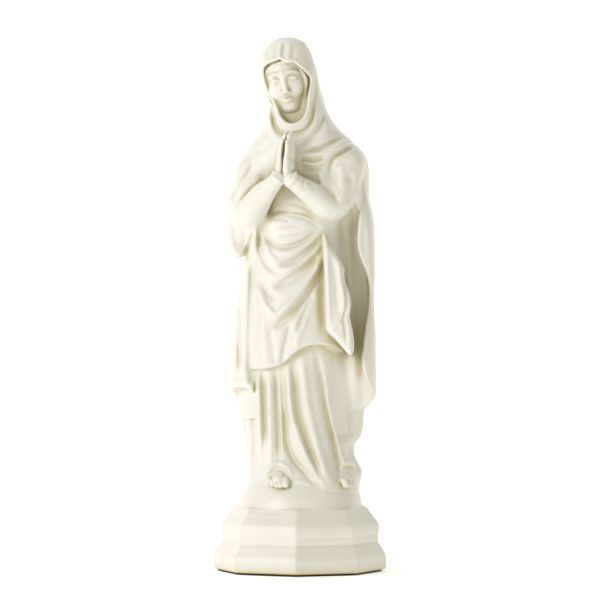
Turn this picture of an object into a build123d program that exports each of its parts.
"""Slip-cast praying madonna statue on an octagonal plinth, modelled as its separate castings.

Frame: millimetres, +Z up, the statue faces -Y, origin at the centre of the base pad's underside.
The statue's own left hand is on +X. Every casting is a solid of its own, and neighbours meet
face to face, by spigot and socket or by a luted seam.
"""

import os
from math import ceil, cos, pi, sin

from build123d import *

# Driving dimensions
STATUE_H = 330.0  # underside of the pad to the crown of the veil
PLINTH_R = 53.6  # octagon, centre to corner
PLINTH_TURN = -3.0  # the figure is luted on a little off the plinth's front corner
WALL = 3.2  # slip-cast wall of the large castings
PLINTH_WALL = 4.0
SEAM_GAP = 0.2  # clearance between a spigot and its socket
SEAT_LIP = 4.0  # length of the locating lips between castings

# Levels, from the ground up
PAD_T = 1.2
PLINTH_TOP = 39.8
MOUND_TOP = 53.0
HIP_JOINT = 150.0
NECK_BASE = 268.0

# Base pad and pour hole
PAD_INSET = 2.4
POUR_HOLE_R = 7.0

# Plinth moulding, as distance from the centre to a flat of the octagon
COS_HALF = 0.92388  # flat distance over corner distance
BLOCK_FLAT = PLINTH_R * COS_HALF
NECKING_FLAT = 48.0 * COS_HALF
BAND_FLAT = 48.8 * COS_HALF
SHOULDER_FLAT = 39.4
BLOCK_TOP = 9.5
NECKING_Z = 20.0
BAND_Z = 24.0
BAND_TOP = 30.0
FOOT_ROUND = 1.6

# Mound and its spigot into the plinth
MOUND_FOOT_R = 39.0
MOUND_TAPER = 13.0
MOUND_ROUND = 2.4
MOUND_SPIGOT_R = 31.0
MOUND_SPIGOT_L = 6.0

# Distance between the sections of a draped casting, and of the veil with its small crown
LOFT_STEP = 9.0
VEIL_STEP = 4.5

# Each section is (height, left, right, front, back): where the outline meets the frame's planes
BODY_SECTIONS = [
    (MOUND_TOP, -30.8, 32.0, -30.0, 25.0),
    (64.0, -30.6, 32.0, -27.5, 24.5),
    (76.0, -32.5, 32.5, -26.5, 24.5),
    (90.0, -36.0, 38.2, -27.0, 25.5),
    (102.0, -36.8, 40.0, -28.0, 26.0),
    (113.0, -36.0, 38.0, -28.5, 25.5),
    (130.0, -34.5, 36.5, -28.0, 25.0),
    (HIP_JOINT, -33.0, 35.5, -27.5, 24.5),
    (175.0, -31.0, 31.0, -25.5, 23.5),
    (200.0, -27.5, 27.5, -23.0, 22.5),
    (218.0, -26.5, 28.0, -22.5, 22.0),
    (236.0, -29.5, 32.0, -23.5, 22.5),
    (250.0, -29.5, 32.0, -22.5, 21.5),
    (260.0, -23.0, 25.0, -18.0, 17.5),
    (NECK_BASE, -15.0, 12.5, -12.0, 12.0),
]
OVERSKIRT_SECTIONS = [
    (113.0, -39.0, 40.5, -32.5, 28.0),
    (128.0, -38.2, 39.5, -33.0, 27.8),
    (150.0, -36.4, 38.0, -32.5, 27.2),
    (172.0, -34.2, 34.0, -30.0, 26.0),
    (195.0, -31.0, 30.8, -27.0, 24.8),
    (208.0, -29.6, 30.0, -26.5, 24.4),
    (222.0, -28.8, 30.3, -25.5, 24.0),
]
CLOAK_SECTIONS = [
    (101.0, -39.5, 42.5, -31.0, 31.5),
    (111.0, -44.0, 46.9, -33.5, 33.0),
    (140.0, -42.4, 46.9, -33.5, 33.5),
    (162.0, -39.8, 45.8, -32.5, 32.8),
    (180.0, -37.0, 46.2, -31.0, 32.0),
    (190.0, -36.2, 46.3, -29.5, 31.2),
    (200.0, -43.4, 46.2, -28.5, 30.6),
    (212.0, -45.6, 46.0, -28.0, 30.0),
    (228.0, -45.0, 43.2, -27.0, 29.0),
    (248.0, -38.8, 41.9, -26.0, 27.5),
    (260.0, -32.4, 38.0, -24.0, 25.5),
    (NECK_BASE, -25.0, 28.0, -20.0, 22.0),
]
VEIL_SECTIONS = [
    (253.0, -33.0, 35.0, -26.5, 27.5),
    (262.0, -31.5, 34.0, -26.5, 26.5),
    (269.0, -25.5, 28.5, -25.0, 24.5),
    (277.0, -22.2, 21.0, -23.5, 22.0),
    (286.0, -19.3, 16.0, -22.5, 20.0),
    (295.0, -22.0, 13.2, -22.5, 19.0),
    (305.0, -25.6, 11.0, -23.0, 17.5),
    (314.0, -26.2, 9.2, -22.0, 14.5),
    (321.0, -22.8, 6.8, -18.5, 10.5),
    (326.5, -17.8, 2.6, -13.5, 5.0),
    (STATUE_H, -13.0, -3.0, -8.5, -0.5),
]

# Pleats: how many run round a casting, and how deep they are at its hem
GOWN_PLEATS = 13
GOWN_PLEAT_DEPTH = 1.4
GOWN_PLEAT_TOP = 120.0
CLOAK_PLEATS = 11
CLOAK_PLEAT_DEPTH = 2.0
CLOAK_PLEAT_TOP = 255.0
POINTS_PER_PLEAT = 4

# Hem of the overskirt seen from the front: it rises from the right hip to the left knee
HEM = [(-50.0, 124.0), (-20.0, 126.0), (-5.0, 134.0), (8.0, 140.4), (22.0, 138.5), (50.0, 129.0)]

# The cloak's front edges: how far forward it reaches on each side
CLOAK_EDGE_RIGHT_Y = -20.0
CLOAK_EDGE_LEFT_Y = -19.0

# The recess between the cloak's left front and the skirt, open to the front
RECESS_WALL = 6.0
RECESS_LOW = (20.0, -80.0, 90.0)
RECESS_HIGH = (80.0, -8.0, 232.0)

# Head, tilted to its right and bowed, with its features in its own frame
HEAD_C = (-9.0, -4.0, 304.6)
HEAD_TILT = 12.0
HEAD_BOW = 10.0
HEAD_SECTIONS = [
    (-19.0, -3.4, 3.4, -13.4, -7.0),
    (-16.5, -6.2, 6.2, -15.0, -2.0),
    (-12.0, -8.8, 8.8, -15.2, 4.0),
    (-6.0, -11.0, 11.0, -15.0, 9.0),
    (0.0, -12.3, 12.3, -14.7, 13.0),
    (7.0, -12.9, 12.9, -15.2, 15.4),
    (13.0, -11.2, 11.2, -13.4, 14.0),
    (17.0, -7.4, 7.4, -9.0, 9.6),
    (19.0, -3.4, 3.4, -4.2, 4.8),
]
HEAD_STEP = 4.5
BRIDGE = (0.0, -14.0, 1.5)
NOSE_TIP = (0.0, -16.3, -5.8)
BRIDGE_R = 1.2
NOSE_TIP_R = 1.9
LID_C = (5.1, -11.4, 0.0)
LID_R = 2.8
LIPS = [
    ((-2.1, -14.6, -9.6), (2.1, -14.6, -9.6), 1.0),
    ((-1.5, -14.5, -11.2), (1.5, -14.5, -11.2), 1.1),
]
FACE_OPENING = (14.6, 19.6)
FACE_OPENING_C = (-9.2, 295.6)
FACE_OPENING_Y = -4.0

# Neck, from the socket in the torso up into the skull
NECK_R = 7.0
NECK_TOP_R = 6.6
NECK_FOOT = (-3.5, -1.0, 262.0)
NECK_HEAD = (-7.0, -4.0, 292.0)

# Arms: shoulder, elbow and wrist centres, with the sleeve's radius at each
RIGHT_ARM = [((-27.0, -4.0, 248.0), 12.0), ((-32.0, -17.0, 221.5), 10.6), ((-14.5, -33.5, 240.5), 5.8)]
LEFT_ARM = [((29.5, -4.0, 248.0), 12.0), ((20.5, -19.0, 224.5), 10.0), ((-4.5, -33.5, 241.0), 5.6)]

# Praying hands in their own frame: the palms meet on X = 0 and the little fingers point to -Y
HANDS_PLACE = (-10.4, -35.0, 236.0)
HANDS_TURN = -12.0
PALM_GAP = 0.3
PALM_ROWS = [(0.0, 2.8, 8.0), (8.0, 3.6, 10.4), (18.0, 3.2, 9.6), (21.0, 2.6, 8.8)]
PALM_ROUND = 1.2
FINGER_PITCH = 2.3
FINGER_FOOT_Z = 17.0
FINGER_FOOT_R = 1.55
FINGER_TIP_R = 1.1
FINGER_TOPS = [29.5, 32.0, 33.4, 32.2]
THUMB = [(1.6, 4.0, 10.0), (1.4, 6.0, 23.0)]
THUMB_R = 1.6

# Drape tail that hangs from the left hip: (height, left, right, depth of its front face)
TAIL_ROWS = [
    (210.0, 12.5, 19.5, -28.5),
    (188.0, 14.5, 27.0, -31.0),
    (168.0, 15.5, 30.5, -33.0),
    (150.0, 17.5, 32.5, -34.5),
    (134.5, 28.0, 33.0, -33.0),
]
TAIL_T = 10.0
TAIL_ROUND = 0.3

# Feet: where each stands on the mound, and which way it points
RIGHT_FOOT = ((-13.0, -24.0), 6.0)
LEFT_FOOT = ((27.0, -17.5), 42.0)
FOOT_HALF = (6.0, 8.6)
FOOT_H = 9.0
FOOT_TAPER = 24.0
TOES = [(-4.2, -7.6, 1.6), (-2.0, -8.9, 1.8), (0.4, -9.6, 1.9), (3.4, -9.6, 2.5)]


def outline_at(rows, height):
    """The outline of a table at one height, by a cubic through the nearest rows."""
    last = len(rows) - 1
    index = max(i for i in range(last) if rows[i][0] <= height)
    low, high = rows[index], rows[index + 1]
    before, after = rows[max(index - 1, 0)], rows[min(index + 2, last)]
    span = high[0] - low[0]
    t = (height - low[0]) / span
    values = []
    for a, b, c, d in zip(before, low, high, after):
        slope_in = (c - a) / (high[0] - before[0]) * span
        slope_out = (d - b) / (after[0] - low[0]) * span
        rise = t * t * (3 - 2 * t)
        values.append(b + (c - b) * rise + t * (1 - t) * ((1 - t) * slope_in - t * slope_out))
    return values


def section(row, inset=0.0, pleats=0, depth=0.0):
    """One oval outline of a casting, drawn in by inset and by its pleats."""
    height, left, right, front, back = row
    centre = ((left + right) / 2, (front + back) / 2, height)
    half_x, half_y = (right - left) / 2 - inset, (back - front) / 2 - inset
    if not pleats:
        return Plane(origin=centre) * Ellipse(half_x, half_y)
    points = []
    count = POINTS_PER_PLEAT * pleats
    for step in range(count):
        turn = 2 * pi * step / count
        dip = depth * (1 - cos(pleats * turn)) / 2
        points.append(((half_x - dip) * cos(turn), (half_y - dip) * sin(turn)))
    return Plane(origin=centre) * make_face(Spline(*points, periodic=True))


def stack(rows, inset=0.0, spacing=LOFT_STEP, pleats=0, depth=0.0, pleat_top=STATUE_H):
    """A smooth solid through a table's outlines, its pleats dying out towards pleat_top."""
    low, high = rows[0][0], rows[-1][0]
    steps = ceil((high - low) / spacing)
    faces = []
    for step in range(steps + 1):
        height = low + (high - low) * step / steps
        fade = max(0.0, (pleat_top - height) / (pleat_top - low))
        faces.append(section(outline_at(rows, height), inset, pleats, depth * fade))
    return loft(faces)


def block(low, high):
    """A box between two corners."""
    size = [b - a for a, b in zip(low, high)]
    middle = [(a + b) / 2 for a, b in zip(low, high)]
    return Pos(*middle) * Box(*size)


def slab(low, high):
    """All of the space between two heights."""
    return block((-80, -80, low), (80, 80, high))


def ring(outer, inner, low, high):
    """A band of the figure's wall between two insets and two heights."""
    return (stack(BODY_SECTIONS, outer) - stack(BODY_SECTIONS, inner)) & slab(low, high)


def main_solid(shape):
    """The largest solid of a cut, without the crumbs that a cut leaves."""
    return max(shape.solids(), key=lambda solid: solid.volume)


def subtract(shape, neighbours):
    """shape without what its neighbours fill."""
    for other in neighbours:
        shape = shape - other
    return shape


def tapered(start, start_r, end, end_r):
    """A cone between two points."""
    way = Vector(*end) - Vector(*start)
    axis = Plane(origin=start, z_dir=way)
    return axis * Pos(0, 0, way.length / 2) * Cone(start_r, end_r, way.length)


def capsule(start, end, radius):
    """A rod with round ends."""
    way = Vector(*end) - Vector(*start)
    axis = Plane(origin=start, z_dir=way)
    rod = axis * Pos(0, 0, way.length / 2) * Cylinder(radius, way.length)
    return rod + Pos(*start) * Sphere(radius) + Pos(*end) * Sphere(radius)


def octagonal(profile):
    """The solid whose every level is an octagon, with its half width given by the profile.

    Four prisms of the same outline, each 45 degrees on, leave the octagon where they meet.
    """
    prism = extrude(Plane.XZ * profile, PLINTH_R + 10, both=True)
    solid = prism
    for turn in (45, 90, 135):
        solid = solid & (Rot(0, 0, turn) * prism)
    return Rot(0, 0, 22.5 + PLINTH_TURN) * solid


def moulding(inset=0.0):
    """Half outline of the plinth, mirrored to a closed face: block, ogee, band and shoulder."""
    flats = [BLOCK_FLAT, NECKING_FLAT, BAND_FLAT, SHOULDER_FLAT]
    block_flat, necking_flat, band_flat, shoulder_flat = [flat - inset for flat in flats]
    foot = (block_flat - FOOT_ROUND, PAD_T)
    edge = (block_flat, PAD_T + FOOT_ROUND)
    block_edge = (block_flat, BLOCK_TOP)
    ogee_mid = ((block_flat + necking_flat) / 2, BLOCK_TOP + 5.8)
    necking = (necking_flat, NECKING_Z)
    band_foot = (band_flat, BAND_Z + 0.8)
    band_edge = (band_flat, BAND_TOP)
    cove = (band_flat - 2.4, BAND_TOP + 4.6)
    with BuildSketch() as sketch:
        with BuildLine():
            Line((0, PAD_T), foot)
            ThreePointArc(foot, (block_flat - 0.3 * FOOT_ROUND, PAD_T + 0.3 * FOOT_ROUND), edge)
            Line(edge, block_edge)
            ThreePointArc(block_edge, (block_flat - 1.1, BLOCK_TOP + 3.6), ogee_mid)
            ThreePointArc(ogee_mid, (necking_flat + 0.7, NECKING_Z - 2.2), necking)
            Line(necking, (necking_flat, BAND_Z))
            Line((necking_flat, BAND_Z), band_foot)
            Line(band_foot, band_edge)
            ThreePointArc(band_edge, (band_flat - 0.7, BAND_TOP + 2.6), cove)
            Line(cove, (shoulder_flat, PLINTH_TOP))
            Line((shoulder_flat, PLINTH_TOP), (0, PLINTH_TOP))
            Line((0, PLINTH_TOP), (0, PAD_T))
        make_face()
        mirror(about=Plane.YZ)
    return sketch.sketch


def base_pad():
    """Felt pad glued under the plinth."""
    return extrude(Rot(0, 0, PLINTH_TURN) * RegularPolygon(PLINTH_R - PAD_INSET, 8), PAD_T)


def plinth():
    """Hollow octagonal casting with a pour hole in its floor and a round seat for the mound."""
    outside = octagonal(moulding())
    hollow = octagonal(moulding(PLINTH_WALL)) & slab(PAD_T + PLINTH_WALL, PLINTH_TOP - PLINTH_WALL)
    pour_hole = Pos(0, 0, PAD_T) * Cylinder(POUR_HOLE_R, 3 * PLINTH_WALL)
    seat = Pos(0, 0, PLINTH_TOP) * Cylinder(MOUND_SPIGOT_R + SEAM_GAP, 3 * PLINTH_WALL)
    return outside - hollow - pour_hole - seat


def mound():
    """Round tapered ground under the figure, with a spigot below and a locating lip above."""
    rise = MOUND_TOP - PLINTH_TOP
    cone = Pos(0, 0, PLINTH_TOP) * extrude(Circle(MOUND_FOOT_R), rise, taper=MOUND_TAPER)
    cone = fillet(cone.edges().sort_by(Axis.Z)[-1], MOUND_ROUND)
    foot = Pos(0, 0, PLINTH_TOP - MOUND_SPIGOT_L)
    spigot = foot * extrude(Circle(MOUND_SPIGOT_R), MOUND_SPIGOT_L)
    bore_depth = rise + MOUND_SPIGOT_L - WALL
    bore = foot * extrude(Circle(MOUND_SPIGOT_R - WALL), bore_depth)
    vent = Pos(0, 0, MOUND_TOP) * Cylinder(POUR_HOLE_R, 4 * WALL)
    lip = ring(WALL + SEAM_GAP, 2 * WALL, MOUND_TOP, MOUND_TOP + SEAT_LIP)
    return cone + spigot - bore - vent + lip


def body():
    """The standing figure in one filled form, from the mound to the base of the neck."""
    return stack(
        BODY_SECTIONS, pleats=GOWN_PLEATS, depth=GOWN_PLEAT_DEPTH, pleat_top=GOWN_PLEAT_TOP
    )


def gown(figure):
    """Lower robe: a hollow pleated casting from the mound to the hips."""
    return (figure & slab(MOUND_TOP, HIP_JOINT)) - stack(BODY_SECTIONS, WALL)


def torso(figure):
    """Body from the hips to the base of the neck, with a spigot into the gown and a neck socket."""
    outside = figure & slab(HIP_JOINT, NECK_BASE)
    hollow = stack(BODY_SECTIONS, WALL) & slab(HIP_JOINT, NECK_BASE - 3 * WALL)
    collar = ring(WALL / 2, 2 * WALL, HIP_JOINT, HIP_JOINT + SEAT_LIP)
    spigot = ring(WALL + SEAM_GAP, 2 * WALL, HIP_JOINT - SEAT_LIP, HIP_JOINT)
    socket = tapered(NECK_FOOT, NECK_R + SEAM_GAP, NECK_HEAD, NECK_TOP_R + SEAM_GAP)
    return (outside - hollow) + collar + spigot - socket


def wrap():
    """The mantle round the hips in one filled form, with a hem that rises across the front."""
    below = Polyline(HEM[-1], (HEM[-1][0], 90), (HEM[0][0], 90), HEM[0])
    front_hem = extrude(Plane.XZ * make_face(Curve() + [Spline(*HEM), below]), 60)
    return stack(OVERSKIRT_SECTIONS) - front_hem


def limb(arm):
    """A sleeve: two tapered lengths with a rounded elbow and a rounded end at the shoulder."""
    (shoulder, shoulder_r), (elbow, elbow_r), (wrist, wrist_r) = arm
    upper = tapered(shoulder, shoulder_r, elbow, elbow_r)
    lower = tapered(elbow, elbow_r, wrist, wrist_r)
    return upper + lower + Pos(*elbow) * Sphere(elbow_r) + Pos(*shoulder) * Sphere(shoulder_r)


def hand(side):
    """One praying hand, side -1 for the right and 1 for the left: palm, fingers, thumb and tang."""
    outlines = []
    for height, thickness, width in PALM_ROWS:
        place = Plane(origin=(side * thickness / 2, 0, height))
        outlines.append(place * RectangleRounded(thickness, width, PALM_ROUND))
    solid = loft(outlines)
    for index, top in enumerate(FINGER_TOPS):
        foot = (side * FINGER_FOOT_R, (index - 1.5) * FINGER_PITCH, FINGER_FOOT_Z)
        tip = (side * FINGER_TIP_R, (index - 1.5) * FINGER_PITCH * 0.8, top - FINGER_TIP_R)
        finger = tapered(foot, FINGER_FOOT_R, tip, FINGER_TIP_R)
        solid = solid + finger + Pos(*tip) * Sphere(FINGER_TIP_R)
    thumb_foot, thumb_tip = [(side * x, y, z) for x, y, z in THUMB]
    solid = solid + capsule(thumb_foot, thumb_tip, THUMB_R)
    kept = block((0, -20, -10), (20, 20, 60)) if side > 0 else block((-20, -20, -10), (0, 20, 60))
    palm_face = Pos(*HANDS_PLACE) * Rot(0, 0, HANDS_TURN) * Pos(side * PALM_GAP / 2, 0, 0)
    return palm_face * main_solid(solid & kept)


def head():
    """Head and neck in one casting, the neck's foot in the torso's socket."""
    face = stack(HEAD_SECTIONS, spacing=HEAD_STEP)
    face = face + tapered(BRIDGE, BRIDGE_R, NOSE_TIP, NOSE_TIP_R) + Pos(*NOSE_TIP) * Sphere(NOSE_TIP_R)
    for side in (-1, 1):
        face = face + Pos(side * LID_C[0], LID_C[1], LID_C[2]) * Sphere(LID_R)
    for start, end, radius in LIPS:
        face = face + capsule(start, end, radius)
    placed = Pos(*HEAD_C) * Rot(HEAD_BOW, -HEAD_TILT, 0) * face
    return placed + tapered(NECK_FOOT, NECK_R, NECK_HEAD, NECK_TOP_R)


def cloak(neighbours):
    """Mantle down the back from the shoulders to the calves, open in front and hollow at its left."""
    outside = stack(
        CLOAK_SECTIONS, pleats=CLOAK_PLEATS, depth=CLOAK_PLEAT_DEPTH, pleat_top=CLOAK_PLEAT_TOP
    )
    right_front = block((-80, -80, 90), (0, CLOAK_EDGE_RIGHT_Y, 280))
    left_front = block((0, -80, 90), (80, CLOAK_EDGE_LEFT_Y, 280))
    recess = stack(CLOAK_SECTIONS, RECESS_WALL) & block(RECESS_LOW, RECESS_HIGH)
    return main_solid(subtract(outside - right_front - left_front - recess, neighbours))


def hood():
    """The veil in one filled form."""
    return stack(VEIL_SECTIONS, spacing=VEIL_STEP)


def veil(neighbours):
    """Hood and cowl round the face, down to the shoulders."""
    mouth = Plane.XZ * Pos(*FACE_OPENING_C) * Rot(0, 0, HEAD_TILT) * Ellipse(*FACE_OPENING)
    opening = Pos(0, FACE_OPENING_Y, 0) * extrude(mouth, 40)
    return main_solid(subtract(hood() - opening, neighbours))


def drape_tail(neighbours):
    """Free end of the mantle, hanging in front of the left hip."""
    outlines = []
    for height, left, right, front in TAIL_ROWS:
        width = right - left
        place = Plane(origin=((left + right) / 2, front + TAIL_T / 2, height))
        outlines.append(place * RectangleRounded(width, TAIL_T, TAIL_ROUND * min(width, TAIL_T)))
    return main_solid(subtract(loft(outlines), neighbours))


def foot(place, neighbours):
    """The bare instep and toes that show under the hem, standing on the mound."""
    (x, y), turn = place
    instep = extrude(Ellipse(*FOOT_HALF), FOOT_H, taper=FOOT_TAPER)
    for toe_x, toe_y, toe_r in TOES:
        instep = instep + Pos(toe_x, toe_y, toe_r * 0.8) * Sphere(toe_r)
    above = instep & slab(0, 2 * FOOT_H)
    return main_solid(subtract(Pos(x, y, MOUND_TOP) * Rot(0, 0, turn) * above, neighbours))


def build():
    """Every casting by node name, each cut to meet the ones before it."""
    figure = body()
    mantle = wrap()
    sleeves = [limb(LEFT_ARM), limb(RIGHT_ARM)]
    hands = {"right_hand": hand(-1), "left_hand": hand(1)}
    core = [figure, mantle, *hands.values()]
    parts = {
        "base_pad": base_pad(),
        "plinth": plinth(),
        "mound": mound(),
        "gown": gown(figure),
        "torso": torso(figure),
        "overskirt": main_solid(mantle - figure),
        "head": head(),
        **hands,
    }
    parts["left_sleeve"] = main_solid(subtract(sleeves[0], core))
    parts["right_sleeve"] = main_solid(subtract(sleeves[1], [*core, parts["left_sleeve"]]))
    parts["veil"] = veil([figure, parts["head"], *sleeves])
    parts["cloak"] = cloak([figure, mantle, *sleeves, hood()])
    parts["drape_tail"] = drape_tail([figure, mantle, *sleeves])
    parts["right_foot"] = foot(RIGHT_FOOT, [figure])
    parts["left_foot"] = foot(LEFT_FOOT, [figure])
    return parts


os.makedirs("parts", exist_ok=True)
for name, shape in build().items():
    export_step(shape, f"parts/{name}.step")
    print(name, "volume", round(shape.volume / 1000, 2), "cm3")
